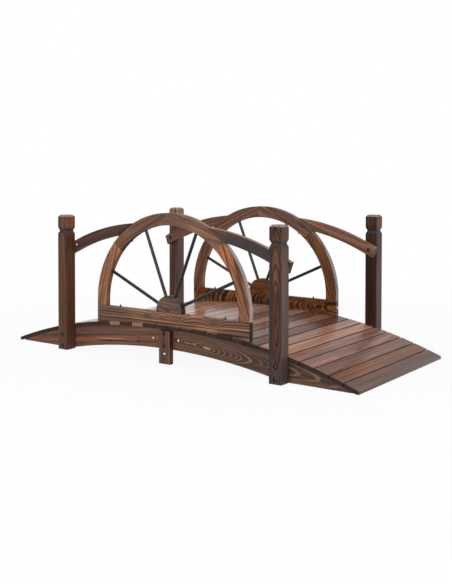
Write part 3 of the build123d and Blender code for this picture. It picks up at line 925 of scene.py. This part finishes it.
def place_many(name, shape, places, material):
    """Copies a shape to each (point, direction), the direction being its z axis, as one mesh.

    Each copy is turned a step further about that axis, because no two bolts stop alike.
    """
    points, faces = shape
    all_points, all_faces = [], []
    for number, (point, direction) in enumerate(places):
        turn = Vector(direction).to_track_quat("Z", "Y").to_matrix()
        spin = Matrix.Rotation(SPIN_STEP * number, 3, "Z")
        rotation = np.array(turn @ spin)
        all_points.append(points @ rotation.T + np.array(point))
        shift = number * len(points)
        all_faces += [tuple(i + shift for i in face) for face in faces]
    mesh = bpy.data.meshes.new(name)
    mesh.from_pydata(np.vstack(all_points).tolist(), [], all_faces)
    mesh.materials.append(material)
    mesh.shade_smooth()
    piece = new_object(name, mesh)
    sharp = piece.modifiers.new("sharp", "EDGE_SPLIT")
    sharp.split_angle = SHARP_SPLIT
    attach(piece, "root")
    print(name, len(places), "pieces,", len(all_faces), "faces")


def scaled(outline):
    """An outline in millimetres, in metres."""
    return [(radius * MM, height * MM) for radius, height in outline]


print("a cylinder turned in 30 steps has", len(turned([(1, 0), (1, 1)])[1]), "faces")

# %% [markdown]
# A fastener sits on the face of the piece that it holds, so most of its place is read from
# the boxes of the pieces. Only what no box gives is a number of its own.

# %% Places of the fasteners
SIDES, ENDS = (-1, 1), (-POST_X, POST_X)
WHEEL_HALF_THICKNESS = 11 * MM


def grid(xs, heights):
    """Every x with every height."""
    return [(x, z) for x in xs for z in heights]


def both_sides(points, depth, facing=1, half_turn=False):
    """A list of (place, direction) for the (x, z) points, on the front and then on the back.

    depth is their distance from the middle plane, and facing is 1 out of the bridge and
    -1 into it. The back mirrors the front, or with half_turn it is the front turned round.
    """
    return [((-sign * x if half_turn else x, sign * depth, z), (0, sign * facing, 0))
            for sign in SIDES for x, z in points]


post_face, leg_face, side_face, wheel_face = (
    abs(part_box(name)[0].y)
    for name in ("post_front_left", "middle_leg_front", "stringer_front_left", "wheel_base_front"))
stringer_inner, plate_inner, rail_inner = (
    abs(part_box(name)[1].y) for name in ("stringer_front_left", "joint_plate_front", "rail_front_left"))
wheel_middle = wheel_face - WHEEL_HALF_THICKNESS
wheel_end, base_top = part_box("wheel_base_front")[1].x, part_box("wheel_base_front")[1].z
print("post, leg and side faces in mm:", [round(v / MM, 1) for v in (post_face, leg_face, side_face)])

# %% [markdown]
# The bolts that hold the posts, the legs and the rails sit in recesses: a black washer on
# the floor of the recess, and a browned hexagon head on top of it.

# %% Bolts in their recesses
# each outline: radius and height in millimetres
WASHER = [(6.4, 0), (6.4, 1.1), (3.3, 1.1)]
HEX_HEAD = [(4.4, 1.1), (4.4, 4.6), (4.1, 5.0), (3.4, 5.1)]

bolt_places = (
    both_sides(grid(ENDS, RECESS_HEIGHTS["post"]), post_face - RECESS_DEPTH)
    + both_sides(grid((0,), RECESS_HEIGHTS["leg"]), leg_face - RECESS_DEPTH)
    + both_sides(grid(ENDS, RECESS_HEIGHTS["rail"]), rail_inner + RECESS_DEPTH, facing=-1))
place_many("bolt_washers", turned(scaled(WASHER), 36), bolt_places, black_steel)
bolt = turned(scaled(HEX_HEAD), 36, hexagon=(0, 1))
place_many("bolt_heads", bolt, bolt_places, bolt_steel)

# %% [markdown]
# The upper bolt of each post goes right through the stringer and ends in a washer and a
# nut on its inner face. The lower bolt of each leg ends so on the plate behind the joint.

# %% Nuts
NUT = [(7.0, 0), (7.0, 1.2), (4.4, 1.2), (5.0, 1.6), (5.0, 5.8), (4.4, 6.2), (3.0, 6.2), (3.0, 9.6),
       (2.4, 10.2)]
nut_places = (
    both_sides(grid(ENDS, RECESS_HEIGHTS["post"][1:]), stringer_inner, facing=-1)
    + both_sides(grid((0,), RECESS_HEIGHTS["leg"][:1]), plate_inner, facing=-1))
place_many("bolt_nuts", turned(scaled(NUT), 36, hexagon=(3, 4)), nut_places, bolt_steel)

# %% [markdown]
# A few screws were left bright: two beside the middle joint, one low in the leg, one at a
# rail's end and one in the end of the wheel's base. The far side has them turned half
# round. Each head is dished for the driver.

# %% Bright screws
SCREW_HEAD = [(4.9, 0), (5.0, 0.5), (4.5, 1.5), (3.4, 2.2), (2.2, 2.5), (1.9, 2.3), (1.5, 1.2)]
JOINT_SCREWS = ((-67 * MM, 85 * MM), (47 * MM, 88 * MM))
LEG_SCREW, RAIL_SCREW = (0, 38 * MM), (-449 * MM, 408 * MM)
BASE_END_SCREW_HEIGHT = 154 * MM
screw_places = (
    both_sides(JOINT_SCREWS, side_face, half_turn=True)
    + both_sides((LEG_SCREW,), leg_face)
    + both_sides((RAIL_SCREW,), side_face, half_turn=True))
screw_places += [((sign * wheel_end, sign * wheel_middle, BASE_END_SCREW_HEIGHT), (sign, 0, 0))
                 for sign in SIDES]
place_many("screw_heads", turned(scaled(SCREW_HEAD)), screw_places, bright_zinc)

# %% [markdown]
# The long black screws that hold the wheel come up through the base board, and others
# cross the joints of the rim. Their tips stand out on the far side as small dark
# points. The thread is a cone whose radius swells and shrinks once a turn.

# %% Screw tips
TIP_RADIUS, TIP_HEIGHT, TIP_PITCH = 4.6 * MM, 9.5 * MM, 2.2 * MM
TIP_ROWS, TIP_AROUND = 40, 20


def screw_tip():
    """A cone of radius r = TIP_RADIUS * (1 - 0.97 * h / TIP_HEIGHT)^0.6 * (0.8 + 0.2 * saw).

    saw rises from 0 to 1 and falls again once every pitch of height, less the turn's share.
    """
    height = np.linspace(0, TIP_HEIGHT, TIP_ROWS)[:, None]
    angle = np.linspace(0, 2 * np.pi, TIP_AROUND, endpoint=False)[None, :]
    saw = 1 - np.abs(2 * np.mod(height / TIP_PITCH - angle / (2 * np.pi), 1.0) - 1)
    radius = TIP_RADIUS * (1 - height / TIP_HEIGHT * 0.97) ** 0.6 * (0.8 + 0.2 * saw)
    points, faces = turned([(1.0, float(h)) for h in height[:, 0]], TIP_AROUND)
    rings = np.stack([radius * np.cos(angle), radius * np.sin(angle), height + 0 * angle], -1)
    points[: TIP_ROWS * TIP_AROUND] = rings.reshape(-1, 3)
    return points, faces


BASE_TIPS_X = (-240 * MM, 240 * MM)
RIM_TIP_ANGLES = (54.6, 127.7)
tip_places = [((x, sign * wheel_middle, base_top), Z) for sign in SIDES for x in BASE_TIPS_X]
for sign in SIDES:
    for degrees in RIM_TIP_ANGLES:
        out = Vector((math.cos(math.radians(degrees)), 0, math.sin(math.radians(degrees))))
        middle = Vector((0, sign * wheel_middle, WHEEL_MIDDLE_HEIGHT))
        tip_places.append((middle + out * RIM_INNER, -out))
place_many("screw_tips", screw_tip(), tip_places, black_steel)

# %% [markdown]
